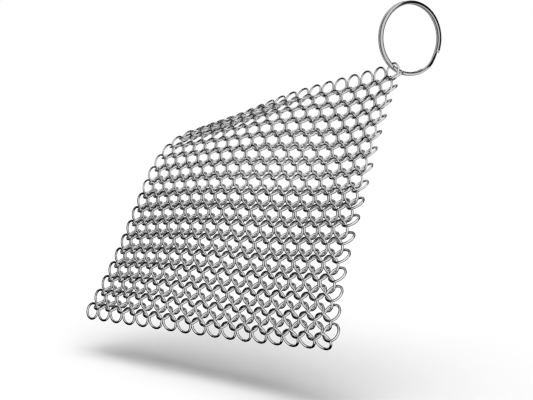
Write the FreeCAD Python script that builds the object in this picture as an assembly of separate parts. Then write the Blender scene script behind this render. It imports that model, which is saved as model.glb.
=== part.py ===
import FreeCAD, Part
import math
import os

Vector = FreeCAD.Vector

# Chainmail pot scrubber: rows of round wire links, each link threaded through four
# neighbours, hung by one corner link on a two-turn split ring.
# Millimetres and degrees. The origin is the middle of the split ring, +Z is up,
# the rows of links run roughly along X and the sheet leans back towards +Y.

# Links of the mail
link_diameter = 10.0
wire_diameter = 1.1
link_side_gap = 0.14
link_lean = 27.0
links_per_row = 17
row_count = 33

# Two crossing links hold a row apart from the next by this share of the bore,
# less this share of the wire that lies between them.
bore_reach_share = 0.768
wire_crossing_share = 1.24

# Split ring, wound from flattened wire
ring_diameter = 39.0
ring_wire_width = 1.9
ring_wire_thickness = 1.1
ring_turn_gap = 0.45
ring_step_angle = 34.0
ring_start_angle = 338.0
ring_end_gap_angle = 7.0
ring_facing = 65.0
ring_arc_angle = 60.0

# Where the corner link rides on the split ring
hang_angle = 238.0

# The drape, from the bottom row to the top one and from left to right: how far each
# place lies from the corner link, as shares of the sheet's width, height and height.
drape_row_shares = (0.0, 0.25, 0.5, 0.75, 1.0)
drape_column_shares = (0.0, 0.25, 0.5, 0.75, 0.875, 1.0)
drape_across_shares = (
    (-0.985, -0.735, -0.485, -0.235, -0.11, 0.015),
    (-0.98, -0.74, -0.49, -0.24, -0.12, 0.0),
    (-0.98, -0.74, -0.49, -0.24, -0.12, -0.005),
    (-0.975, -0.73, -0.485, -0.24, -0.12, -0.01),
    (-0.94, -0.705, -0.475, -0.235, -0.115, 0.0),
)
drape_back_shares = (
    (-0.445, -0.45, -0.44, -0.44, -0.445, -0.455),
    (-0.29, -0.325, -0.345, -0.355, -0.375, -0.395),
    (-0.155, -0.195, -0.22, -0.23, -0.245, -0.265),
    (-0.01, -0.045, -0.08, -0.09, -0.105, -0.14),
    (0.225, 0.17, 0.115, 0.07, 0.04, 0.0),
)
drape_up_shares = (
    (-0.915, -0.90, -0.895, -0.885, -0.875, -0.86),
    (-0.73, -0.685, -0.66, -0.645, -0.63, -0.61),
    (-0.52, -0.48, -0.445, -0.44, -0.425, -0.40),
    (-0.335, -0.29, -0.255, -0.245, -0.225, -0.185),
    (-0.245, -0.17, -0.105, -0.05, -0.025, 0.0),
)
drape_stretch_share = 1.04
settle_sweeps = 300

# Sizes that follow
link_radius = (link_diameter - wire_diameter) / 2
link_bore = link_diameter - 2 * wire_diameter
link_pitch = link_diameter + link_side_gap
row_pitch = link_bore * bore_reach_share - wire_diameter * wire_crossing_share
cross_pitch = math.hypot(link_pitch / 2, row_pitch)
sheet_width = link_pitch * (links_per_row - 1)
sheet_height = row_pitch * (row_count - 1)
ring_radius = (ring_diameter - ring_wire_width) / 2
ring_layer = (ring_wire_thickness + ring_turn_gap) / 2
ring_stack = 2 * ring_wire_thickness + ring_turn_gap
hang_slack = math.sqrt((link_bore / 2) ** 2 - ring_stack ** 2) - ring_wire_width / 2
ring_across = Vector(math.cos(math.radians(ring_facing)), math.sin(math.radians(ring_facing)), 0)
ring_axis = Vector(math.sin(math.radians(ring_facing)), -math.cos(math.radians(ring_facing)), 0)
up = Vector(0, 0, 1)


def around_ring(angle, radius, along=0):
    """Point round the split ring's middle, some way along its axis."""
    turn = math.radians(angle)
    return ring_across * (radius * math.cos(turn)) + up * (radius * math.sin(turn)) + ring_axis * along


def smooth_line(points, shares):
    """Smooth line that meets each point at its share of the way."""
    line = Part.BSplineCurve()
    line.interpolate(Points=points, Parameters=list(shares))
    return line


def drape_place(row, column):
    """Through-point of the drape at a station row and column, seen from the corner."""
    across = drape_across_shares[row][column] * sheet_width * drape_stretch_share
    back = drape_back_shares[row][column] * sheet_height * drape_stretch_share
    rise = drape_up_shares[row][column] * sheet_height * drape_stretch_share
    return Vector(across, back, rise)


def neighbours(row, column):
    """Links above and below that pass through this one, by their side."""
    shift = row % 2
    found = {}
    for rise in (1, -1):
        for side in (1, -1):
            place = (row + rise, column + shift + (side - 1) // 2)
            if 0 <= place[0] < row_count and 0 <= place[1] < links_per_row:
                found[(side, rise)] = place
    return found


def lay_links():
    """Link centres over the drape, half a pitch aside in every other row."""
    profiles = []
    for column in range(len(drape_column_shares)):
        places = [drape_place(row, column) for row in range(len(drape_row_shares))]
        profiles.append(smooth_line(places, drape_row_shares))
    centres = {}
    for row in range(row_count):
        places = [profile.value(row / (row_count - 1)) for profile in profiles]
        line = smooth_line(places, drape_column_shares)
        for column in range(links_per_row):
            share = (column + (row % 2) / 2) / (links_per_row - 1)
            centres[(row, column)] = line.value(share)
    return centres


def link_ties():
    """Pairs of links and the distance that the weave keeps between them."""
    ties = []
    for row in range(row_count):
        for column in range(links_per_row):
            here = (row, column)
            if column + 1 < links_per_row:
                ties.append((here, (row, column + 1), link_pitch))
            if row + 2 < row_count:
                ties.append((here, (row + 2, column), 2 * row_pitch))
            for (side, rise), place in neighbours(row, column).items():
                if rise == 1:
                    ties.append((here, place, cross_pitch))
    return ties


def settle(centres):
    """Ease the links until each keeps its distances, then hang the corner on the ring."""
    ties = link_ties()
    for sweep in range(settle_sweeps):
        for first, second, distance in ties:
            step = centres[second] - centres[first]
            move = step * ((step.Length - distance) / step.Length / 2)
            centres[first] = centres[first] + move
            centres[second] = centres[second] - move
    corner = around_ring(hang_angle, ring_radius + hang_slack)
    shift = corner - centres[(row_count - 1, links_per_row - 1)]
    return {place: centre + shift for place, centre in centres.items()}


def mean(points):
    total = Vector(0, 0, 0)
    for point in points:
        total = total + point
    return total * (1 / len(points))


def link_facing(centres, row, column):
    """Direction that a link faces: the sheet's normal, leaned up or down row by row."""
    here = centres[(row, column)]
    by_side = {}
    for (side, rise), place in neighbours(row, column).items():
        by_side.setdefault(("side", side), []).append(centres[place])
        by_side.setdefault(("rise", rise), []).append(centres[place])
    left = mean(by_side.get(("side", -1), [here]))
    right = mean(by_side.get(("side", 1), [here]))
    below = mean(by_side.get(("rise", -1), [here]))
    above = mean(by_side.get(("rise", 1), [here]))
    if ("rise", 1) not in by_side or ("rise", -1) not in by_side:
        along = centres[(row, min(column + 1, links_per_row - 1))] - centres[(row, max(column - 1, 0))]
    else:
        along = right - left
    along.normalize()
    climb = above - below
    climb = climb - along * climb.dot(along)
    climb.normalize()
    outward = along.cross(climb)
    lean = math.radians(link_lean) * (1 if row % 2 else -1)
    return outward * math.cos(lean) + climb * math.sin(lean)


def make_link(centre, facing):
    return Part.makeTorus(link_radius, wire_diameter / 2, centre, facing)


def biarc(start, start_heading, end, end_heading):
    """Two arcs that leave one point and reach another in the given headings."""
    span = end - start
    headings = start_heading + end_heading
    square = 2 * (1 - start_heading.dot(end_heading))
    linear = 2 * span.dot(headings)
    reach = (-linear + math.sqrt(linear ** 2 + 4 * square * span.dot(span))) / (2 * square)
    first_corner = start + start_heading * reach
    last_corner = end - end_heading * reach
    middle = (first_corner + last_corner) * (1 / 2)
    arcs = []
    for near, corner, far in ((start, first_corner, middle), (middle, last_corner, end)):
        chord_middle = (near + far) * (1 / 2)
        half_chord = (far - near).Length / 2
        bend = math.acos(min(1, half_chord / (corner - near).Length))
        bulge = corner - chord_middle
        bulge.normalize()
        crown = chord_middle + bulge * (half_chord * math.tan(bend / 2))
        arcs.append(Part.Arc(near, crown, far).toShape())
    return arcs


def ring_step_share(angle):
    """How far across the step between the layers the wire has come."""
    share = (angle - (360 - ring_step_angle)) / ring_step_angle
    return max(0, min(1, share))


def ring_point(angle):
    """Point on the wire's line: one layer, a step, the other layer."""
    along = ring_layer * math.cos(math.pi * ring_step_share(angle))
    return around_ring(ring_start_angle + angle, ring_radius, along)


def ring_heading(angle):
    """Direction of the wire: round the ring, and across it in the step."""
    across = -ring_layer * math.sin(math.pi * ring_step_share(angle)) * 180 / ring_step_angle
    heading = around_ring(ring_start_angle + angle + 90, ring_radius, across)
    heading.normalize()
    return heading


def ring_angles():
    """Stations along the two turns, with the step between the layers halved."""
    first = 360 - ring_step_angle
    second = 720 - ring_step_angle - ring_end_gap_angle
    steps = math.ceil(first / ring_arc_angle)
    angles = [first * step / steps for step in range(steps)]
    angles += [first, first + ring_step_angle / 2]
    steps = math.ceil((second - 360) / ring_arc_angle)
    return angles + [360 + (second - 360) * step / steps for step in range(steps + 1)]


def make_split_ring():
    """Two turns of flattened wire in one length, stepped across between its layers."""
    angles = ring_angles()
    arcs = []
    for start, end in zip(angles, angles[1:]):
        arcs += biarc(ring_point(start), ring_heading(start), ring_point(end), ring_heading(end))
    path = Part.Wire(arcs)
    half_flat = (ring_wire_width - ring_wire_thickness) / 2
    half_thickness = ring_wire_thickness / 2
    outward = around_ring(ring_start_angle, 1)
    centre = ring_point(0)
    corner = {}
    for side in (1, -1):
        for layer in (1, -1):
            corner[(side, layer)] = centre + outward * (half_flat * side) + ring_axis * (half_thickness * layer)
    noses = {side: centre + outward * (ring_wire_width / 2 * side) for side in (1, -1)}
    section = Part.Wire([
        Part.LineSegment(corner[(-1, 1)], corner[(1, 1)]).toShape(),
        Part.Arc(corner[(1, 1)], noses[1], corner[(1, -1)]).toShape(),
        Part.LineSegment(corner[(1, -1)], corner[(-1, -1)]).toShape(),
        Part.Arc(corner[(-1, -1)], noses[-1], corner[(-1, 1)]).toShape(),
    ])
    ring = path.makePipeShell([section], True, False)
    flat_area = ring_wire_thickness * 2 * half_flat + math.pi * half_thickness ** 2
    print("split ring volume over section times length", ring.Volume / (flat_area * path.Length))
    return ring


def ring_self_gap():
    """Least gap between the split ring's two turns, measured on points of the wire's line."""
    last = ring_angles()[-1]
    samples = 4 * 360
    points = [(last * k / samples, ring_point(last * k / samples)) for k in range(samples + 1)]
    least = ring_diameter
    for angle, point in points:
        for other_angle, other in points:
            if other_angle - angle > 180:
                least = min(least, (other - point).Length)
    return least - ring_wire_thickness


def main():
    os.makedirs("parts", exist_ok=True)
    centres = settle(lay_links())
    corner_place = (row_count - 1, links_per_row - 1)
    nodes = {"hanging_ring": make_split_ring()}
    print("split ring least gap to itself", ring_self_gap())
    for row in range(row_count):
        links = []
        for column in range(links_per_row):
            link = make_link(centres[(row, column)], link_facing(centres, row, column))
            if (row, column) == corner_place:
                nodes["corner_link"] = link
            else:
                links.append(link)
        nodes["mail_row_%02d" % (row + 1)] = Part.makeCompound(links)
    for name, shape in nodes.items():
        shape.exportStep("parts/%s.step" % name)


main()
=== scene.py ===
import bpy
import math
import random
import numpy as np
from mathutils import Matrix, Vector


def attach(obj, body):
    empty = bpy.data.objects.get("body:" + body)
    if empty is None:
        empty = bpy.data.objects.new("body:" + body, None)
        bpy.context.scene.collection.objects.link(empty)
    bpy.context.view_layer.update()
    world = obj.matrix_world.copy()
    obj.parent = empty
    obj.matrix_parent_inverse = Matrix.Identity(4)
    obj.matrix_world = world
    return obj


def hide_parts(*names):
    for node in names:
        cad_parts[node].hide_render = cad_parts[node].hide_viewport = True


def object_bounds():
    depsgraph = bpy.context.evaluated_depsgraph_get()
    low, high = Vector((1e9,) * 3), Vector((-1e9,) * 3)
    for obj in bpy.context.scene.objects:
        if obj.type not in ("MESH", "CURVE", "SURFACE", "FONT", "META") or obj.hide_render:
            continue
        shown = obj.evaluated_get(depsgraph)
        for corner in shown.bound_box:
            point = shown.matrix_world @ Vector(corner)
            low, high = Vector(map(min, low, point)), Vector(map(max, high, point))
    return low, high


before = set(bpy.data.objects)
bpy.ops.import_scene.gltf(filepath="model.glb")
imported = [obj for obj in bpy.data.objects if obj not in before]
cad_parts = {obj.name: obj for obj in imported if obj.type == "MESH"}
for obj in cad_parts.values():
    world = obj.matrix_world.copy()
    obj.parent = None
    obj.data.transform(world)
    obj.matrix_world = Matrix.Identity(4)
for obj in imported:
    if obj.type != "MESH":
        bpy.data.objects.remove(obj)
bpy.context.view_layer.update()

RANDOM_SEED = 41
MM_PER_METRE = 1000
rng = random.Random(RANDOM_SEED)

# Links, in metres and degrees
LINK_RADIUS = 0.00445
WIRE_RADIUS = 0.00055
LINK_STEPS = 36
WIRE_SIDES = 10
WELD_PLACES = (90, 270)
WELD_WANDER = 5.0
WELD_OFFSETS = (-6.0, -3.6, -1.7, 0.0, 1.7, 3.6)
WELD_SPAN = 6.0
WELD_RISE = 0.00006
WELD_WIDTH = 2.3
WELD_LEAST = 0.01
MERGE_DIGITS = 6
FACING_SLOPE = 0.6

# Split ring
RING_RADIUS = 0.01855
RING_WIRE_WIDTH = 0.0019
RING_WIRE_THICKNESS = 0.0011
RING_LAYER = 0.000775
RING_STEP = 34.0
RING_START = 338.0
RING_END_GAP = 7.0
RING_FACING = 65.0
RING_PACE = 3.0
RING_SIDES = 28
RING_CHAMFER = 0.00012
RING_CROWN = 0.62
RING_TONE = 0.5

# Steel, with the wire's length in millimetres along U and its girth along V
LINK_DARK = (0.68, 0.68, 0.69)
LINK_LIGHT = (0.84, 0.84, 0.85)
LINK_WELD = (0.55, 0.53, 0.51)
LINK_ROUGHNESS = (0.05, 0.11)
LINK_LINES = (0.5, 24, 1)
LINK_BUMP = 0.08
RING_DARK = (0.50, 0.50, 0.51)
RING_LIGHT = (0.62, 0.62, 0.63)
RING_WELD = (0.45, 0.45, 0.45)
RING_ROUGHNESS = (0.05, 0.10)
RING_LINES = (0.25, 30, 1)
RING_BUMP = 0.02
NOISE_RANGE = (0.3, 0.7)
LINE_SHARE = 0.5
LINE_DETAIL = 4.0
WEAR_SCALE = 420.0
WEAR_DETAIL = 3.0
WELD_TINT_SHARE = 0.6
WELD_ROUGHNESS = 0.12
LINE_DEPTH = 0.00002

# Camera, from the photograph
IMAGE_SIZE = (533, 400)
CAMERA_AZIMUTH = 37.2
CAMERA_ELEVATION = 6.5
CAMERA_DEPTH = 0.543
CAMERA_LENS = 70.0
CAMERA_SENSOR = 36.0
CAMERA_NEAR = 0.01
RING_PIXEL = (410.3, 38.3)

# Studio
FLOOR_DROP = 0.018
FLOOR_RADIUS = 0.9
FLOOR_SIDES = 96
FLOOR_COLOUR = (0.9, 0.9, 0.9)
CARD_COLOUR = (0.02, 0.02, 0.02)
ROOM_GLOW = 0.04
ROOM_WHITE = 1.0
LAMP_SIZE = 1.2
LAMP_RISE = 1.0
LAMP_SETBACK = 0.12
LAMP_POWER = 13.0


def link_places(node):
    """Middle and axis of each link in a CAD node."""
    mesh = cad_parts[node].data
    points = np.empty(len(mesh.vertices) * 3)
    mesh.vertices.foreach_get("co", points)
    edges = np.empty(len(mesh.edges) * 2, np.int64)
    mesh.edges.foreach_get("vertices", edges)
    points = np.round(points.reshape(-1, 3), MERGE_DIGITS)
    points, index = np.unique(points, axis=0, return_inverse=True)
    edges = index.reshape(-1)[edges].reshape(-1, 2)
    # The lowest label spreads along the edges until each solid has one
    label = np.arange(len(points))
    while True:
        low = np.minimum(label[edges[:, 0]], label[edges[:, 1]])
        lower = label.copy()
        np.minimum.at(lower, edges[:, 0], low)
        np.minimum.at(lower, edges[:, 1], low)
        lower = lower[lower]
        if (lower == label).all():
            break
        label = lower
    places = []
    for solid in np.unique(label):
        cloud = points[label == solid]
        middle = cloud.mean(0)
        axis = np.linalg.svd(cloud - middle)[2][2]
        # Every axis points to the same side of the mail
        if axis[2] * FACING_SLOPE < axis[1]:
            axis = -axis
        places.append((middle, axis))
    places.sort(key=lambda place: place[0][0])
    return places


def link_angles(weld):
    """Stations round a link, close together at its weld."""
    angles = [weld + offset for offset in WELD_OFFSETS]
    span = 360 - 2 * WELD_SPAN
    return angles + [weld + WELD_SPAN + span * step / LINK_STEPS for step in range(LINK_STEPS)]


class Wires:
    """Mesh of swept wires with the way along and around the wire kept for the finish."""

    def __init__(self):
        self.points = []
        self.faces = []
        self.corners = []
        self.weld = []
        self.tone = []

    def add_wire(self, sections, lengths, weld, tone, closed):
        start = len(self.points)
        sides = len(sections[0])
        for section, bead in zip(sections, weld):
            self.points += [tuple(point) for point in section]
            self.weld += [bead] * sides
            self.tone += [tone] * sides
        count = len(sections)
        for k in range(count if closed else count - 1):
            here = start + k * sides
            there = start + (k + 1) % count * sides
            u = (lengths[k], lengths[k + 1])
            for s in range(sides):
                side = (s + 1) % sides
                v = (s / sides, (s + 1) / sides)
                self.faces.append((here + s, there + s, there + side, here + side))
                self.corners += [(u[0], v[0]), (u[1], v[0]), (u[1], v[1]), (u[0], v[1])]
        if not closed:
            first = [start + s for s in range(sides)]
            last = [start + (count - 1) * sides + s for s in range(sides)]
            for end, where in ((first, lengths[0]), (last[::-1], lengths[-1])):
                self.faces.append(tuple(end))
                self.corners += [(where, s / sides) for s in range(sides)]

    def make(self, name, material):
        mesh = bpy.data.meshes.new(name)
        mesh.from_pydata(self.points, [], self.faces)
        layer = mesh.uv_layers.new(name="wire")
        layer.data.foreach_set("uv", np.array(self.corners, np.float32).reshape(-1))
        for key, values in (("weld", self.weld), ("tone", self.tone)):
            attribute = mesh.attributes.new(key, "FLOAT", "POINT")
            attribute.data.foreach_set("value", np.array(values, np.float32))
        mesh.polygons.foreach_set("use_smooth", [True] * len(mesh.polygons))
        mesh.materials.append(material)
        piece = bpy.data.objects.new(name, mesh)
        bpy.context.scene.collection.objects.link(piece)
        return piece


def add_link(wires, middle, axis):
    """One welded link, its weld at the top or the bottom of the bore."""
    across = np.array((1.0, 0.0, 0.0))
    across = across - axis * across.dot(axis)
    across /= np.linalg.norm(across)
    rise = np.cross(axis, across)
    weld = rng.choice(WELD_PLACES) + rng.uniform(-WELD_WANDER, WELD_WANDER)
    sections = []
    beads = []
    lengths = []
    for angle in link_angles(weld):
        turn = math.radians(angle)
        outward = across * math.cos(turn) + rise * math.sin(turn)
        away = (angle - weld + 180) % 360 - 180
        bead = math.exp(-(away / WELD_WIDTH) ** 2)
        wire = WIRE_RADIUS + WELD_RISE * bead
        section = []
        for side in range(WIRE_SIDES):
            around = 2 * math.pi * side / WIRE_SIDES
            radial = outward * (LINK_RADIUS + wire * math.cos(around))
            section.append(middle + radial + axis * (wire * math.sin(around)))
        sections.append(section)
        beads.append(bead if bead > WELD_LEAST else 0.0)
        lengths.append(turn * LINK_RADIUS * MM_PER_METRE)
    lengths.append(lengths[0] + 2 * math.pi * LINK_RADIUS * MM_PER_METRE)
    wires.add_wire(sections, lengths, beads, rng.random(), True)


def ring_section(half_width, half_thickness):
    """Crowned round of the split ring's flattened wire: places across and along the ring's axis."""
    places = []
    for side in range(RING_SIDES):
        turn = 2 * math.pi * (side + 0.5) / RING_SIDES
        out = math.copysign(abs(math.cos(turn)) ** RING_CROWN, math.cos(turn))
        along = math.copysign(abs(math.sin(turn)) ** RING_CROWN, math.sin(turn))
        places.append((half_width * out, half_thickness * along))
    return places


def add_split_ring(wires):
    """Two turns of flattened wire with a stepped crossing and square ends."""
    facing = math.radians(RING_FACING)
    across = np.array((math.cos(facing), math.sin(facing), 0.0))
    axis = np.array((math.sin(facing), -math.cos(facing), 0.0))
    rise = np.array((0.0, 0.0, 1.0))
    last = 720 - RING_STEP - RING_END_GAP
    count = math.ceil(last / RING_PACE)
    nip = math.degrees(RING_CHAMFER / RING_RADIUS)
    angles = [0, nip] + [last * k / count for k in range(1, count)] + [last - nip, last]
    sections = []
    lengths = []
    for angle in angles:
        share = max(0, min(1, (angle - (360 - RING_STEP)) / RING_STEP))
        layer = RING_LAYER * math.cos(math.pi * share)
        turn = math.radians(RING_START + angle)
        outward = across * math.cos(turn) + rise * math.sin(turn)
        inset = RING_CHAMFER if angle in (0, last) else 0
        section = []
        for out, along in ring_section(RING_WIRE_WIDTH / 2 - inset, RING_WIRE_THICKNESS / 2 - inset):
            section.append(outward * (RING_RADIUS + out) + axis * (layer + along))
        sections.append(section)
        lengths.append(math.radians(angle) * RING_RADIUS * MM_PER_METRE)
    wires.add_wire(sections, lengths, [0.0] * len(sections), RING_TONE, False)


class Nodes:
    """Short ways to make and link the nodes of a material or the room."""

    def __init__(self, tree):
        self.tree = tree
        tree.nodes.clear()

    def add(self, kind, **values):
        node = self.tree.nodes.new(kind)
        for key, value in values.items():
            setattr(node, key, value)
        return node

    def join(self, source, target):
        self.tree.links.new(source, target)

    def ranged(self, source, span, to_span):
        node = self.add("ShaderNodeMapRange")
        self.join(source, node.inputs["Value"])
        node.inputs["From Min"].default_value = span[0]
        node.inputs["From Max"].default_value = span[1]
        node.inputs["To Min"].default_value = to_span[0]
        node.inputs["To Max"].default_value = to_span[1]
        return node.outputs["Result"]

    def maths(self, operation, first, second):
        node = self.add("ShaderNodeMath", operation=operation)
        for socket, value in zip(node.inputs, (first, second)):
            if isinstance(value, (int, float)):
                socket.default_value = value
            else:
                self.join(value, socket)
        return node.outputs["Value"]

    def mixed(self, share, first, second):
        """Colour between two, each a colour or the colour that a node gives."""
        node = self.add("ShaderNodeMix", data_type="RGBA")
        self.join(share, node.inputs["Factor"])
        sockets = [socket for socket in node.inputs if socket.type == "RGBA"]
        for socket, value in zip(sockets, (first, second)):
            if isinstance(value, tuple):
                socket.default_value = (*value, 1)
            else:
                self.join(value, socket)
        return [socket for socket in node.outputs if socket.type == "RGBA"][0]

    def noise(self, vector, scale, detail):
        node = self.add("ShaderNodeTexNoise")
        node.inputs["Scale"].default_value = scale
        node.inputs["Detail"].default_value = detail
        self.join(vector, node.inputs["Vector"])
        return node.outputs["Fac"]


def new_material(name):
    material = bpy.data.materials.new(name)
    material.use_nodes = True
    return material


def steel(name, dark, light, weld_tint, roughness, stretch, relief):
    """Drawn steel wire: fine lines along the wire, soft wear between them, and tinted welds."""
    material = new_material(name)
    n = Nodes(material.node_tree)
    out = n.add("ShaderNodeOutputMaterial")
    shader = n.add("ShaderNodeBsdfPrincipled")
    shader.inputs["Metallic"].default_value = 1.0
    n.join(shader.outputs["BSDF"], out.inputs["Surface"])
    along = n.add("ShaderNodeUVMap", uv_map="wire")
    mapping = n.add("ShaderNodeMapping")
    mapping.inputs["Scale"].default_value = stretch
    n.join(along.outputs["UV"], mapping.inputs["Vector"])
    lines = n.noise(mapping.outputs["Vector"], 1.0, LINE_DETAIL)
    where = n.add("ShaderNodeTexCoord")
    wear = n.noise(where.outputs["Object"], WEAR_SCALE, WEAR_DETAIL)
    tone = n.add("ShaderNodeAttribute", attribute_name="tone").outputs["Fac"]
    weld = n.add("ShaderNodeAttribute", attribute_name="weld").outputs["Fac"]
    link_part = n.ranged(tone, (0, 1), (0, 1 - LINE_SHARE))
    line_part = n.ranged(lines, NOISE_RANGE, (0, LINE_SHARE))
    colour = n.mixed(n.maths("ADD", link_part, line_part), dark, light)
    tinted = n.mixed(n.maths("MULTIPLY", weld, WELD_TINT_SHARE), colour, weld_tint)
    n.join(tinted, shader.inputs["Base Color"])
    worn = n.ranged(wear, NOISE_RANGE, roughness)
    n.join(n.maths("ADD", worn, n.maths("MULTIPLY", weld, WELD_ROUGHNESS)), shader.inputs["Roughness"])
    bump = n.add("ShaderNodeBump")
    bump.inputs["Strength"].default_value = relief
    bump.inputs["Distance"].default_value = LINE_DEPTH
    n.join(lines, bump.inputs["Height"])
    n.join(bump.outputs["Normal"], shader.inputs["Normal"])
    return material


def plain(name, colour):
    material = new_material(name)
    n = Nodes(material.node_tree)
    out = n.add("ShaderNodeOutputMaterial")
    matt = n.add("ShaderNodeBsdfDiffuse")
    matt.inputs["Color"].default_value = (*colour, 1)
    n.join(matt.outputs["BSDF"], out.inputs["Surface"])
    return material


def aim(obj, place, target):
    obj.location = place
    obj.rotation_euler = (Vector(target) - Vector(place)).to_track_quat("-Z", "Y").to_euler()


def sheet(name, rim, colour):
    """Flat stage piece with a matt face."""
    mesh = bpy.data.meshes.new(name)
    mesh.from_pydata([(x, y, 0) for x, y in rim], [], [tuple(range(len(rim)))])
    mesh.materials.append(plain(name, colour))
    obj = bpy.data.objects.new(name, mesh)
    bpy.context.scene.collection.objects.link(obj)
    return obj


def card(name, target, azimuth, elevation, distance, width, height):
    """Dark card beside the object that only its polished metal sees."""
    side = math.radians(CAMERA_AZIMUTH + azimuth)
    tilt = math.radians(elevation)
    away = Vector((math.sin(side) * math.cos(tilt), -math.cos(side) * math.cos(tilt), math.sin(tilt)))
    x = width / 2
    y = height / 2
    obj = sheet(name, [(-x, -y), (x, -y), (x, y), (-x, y)], CARD_COLOUR)
    aim(obj, target + away * distance, target)
    obj.visible_camera = False
    obj.visible_diffuse = False
    obj.visible_shadow = False
    obj.visible_transmission = False


# Pieces
link_steel = steel(
    "link_steel_wire", LINK_DARK, LINK_LIGHT, LINK_WELD, LINK_ROUGHNESS, LINK_LINES, LINK_BUMP)
ring_steel = steel(
    "split_ring_steel", RING_DARK, RING_LIGHT, RING_WELD, RING_ROUGHNESS, RING_LINES, RING_BUMP)
for node in sorted(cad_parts):
    wires = Wires()
    if node == "hanging_ring":
        add_split_ring(wires)
        piece = wires.make("split_ring", ring_steel)
    else:
        for middle, axis in link_places(node):
            add_link(wires, middle, axis)
        piece = wires.make(node + "_links", link_steel)
    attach(piece, node)
    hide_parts(node)

# Camera
right = Vector((math.cos(math.radians(CAMERA_AZIMUTH)), math.sin(math.radians(CAMERA_AZIMUTH)), 0))
level = math.cos(math.radians(CAMERA_ELEVATION))
back = Vector((right.y * level, -right.x * level, math.sin(math.radians(CAMERA_ELEVATION))))
rise = back.cross(right)
focal = CAMERA_LENS / CAMERA_SENSOR * IMAGE_SIZE[0]
aside = (RING_PIXEL[0] - IMAGE_SIZE[0] / 2) / focal * CAMERA_DEPTH
above = (IMAGE_SIZE[1] / 2 - RING_PIXEL[1]) / focal * CAMERA_DEPTH
camera = bpy.data.objects.new("camera", bpy.data.cameras.new("camera"))
camera.data.lens = CAMERA_LENS
camera.data.sensor_width = CAMERA_SENSOR
camera.data.clip_start = CAMERA_NEAR
turn = Matrix((right, rise, back)).transposed().to_4x4()
camera.matrix_world = Matrix.Translation(back * CAMERA_DEPTH - right * aside - rise * above) @ turn
bpy.context.scene.collection.objects.link(camera)
bpy.context.scene.camera = camera

# Floor, which shows only its shadow on the white of the room
low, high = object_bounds()
middle = (Vector(low) + Vector(high)) / 2
steps = [2 * math.pi * k / FLOOR_SIDES for k in range(FLOOR_SIDES)]
rim = [(FLOOR_RADIUS * math.cos(step), FLOOR_RADIUS * math.sin(step)) for step in steps]
floor = sheet("floor", rim, FLOOR_COLOUR)
floor.location = (middle.x, middle.y, low[2] - FLOOR_DROP)
floor.is_shadow_catcher = True
floor.visible_glossy = False

# Room, white to the camera and in the metal
world = bpy.data.worlds.new("room")
bpy.context.scene.world = world
world.use_nodes = True
n = Nodes(world.node_tree)
paths = n.add("ShaderNodeLightPath").outputs
seen = n.maths("MAXIMUM", paths["Is Camera Ray"], paths["Is Glossy Ray"])
seen = n.maths("MAXIMUM", seen, paths["Is Transmission Ray"])
ground = n.add("ShaderNodeBackground")
ground.inputs["Color"].default_value = (1, 1, 1, 1)
n.join(n.ranged(seen, (0, 1), (ROOM_GLOW, ROOM_WHITE)), ground.inputs["Strength"])
room = n.add("ShaderNodeOutputWorld")
n.join(ground.outputs["Background"], room.inputs["Surface"])

# Overhead lamp
lamp = bpy.data.lights.new("overhead", "AREA")
lamp.size = LAMP_SIZE
lamp.energy = LAMP_POWER
overhead = bpy.data.objects.new("overhead", lamp)
behind = Vector((-right.y, right.x, 0))
aim(overhead, middle + behind * LAMP_SETBACK + Vector((0, 0, LAMP_RISE)), (middle.x, middle.y, low[2]))
overhead.visible_glossy = False
bpy.context.scene.collection.objects.link(overhead)

# Dark cards, at angles from the camera
ring_middle = Vector((0, 0, 0))
card("left_card", middle, azimuth=-95, elevation=0, distance=0.8, width=1.3, height=3.0)
card("right_card", middle, azimuth=105, elevation=25, distance=0.8, width=0.8, height=1.0)
card("under_card", middle, azimuth=180, elevation=-60, distance=0.5, width=2.4, height=1.3)
card("top_card", middle, azimuth=180, elevation=45, distance=0.8, width=2.0, height=0.7)
card("ring_card", ring_middle, azimuth=89, elevation=20, distance=0.103, width=0.12, height=0.1)

bpy.context.scene.view_settings.view_transform = "Standard"
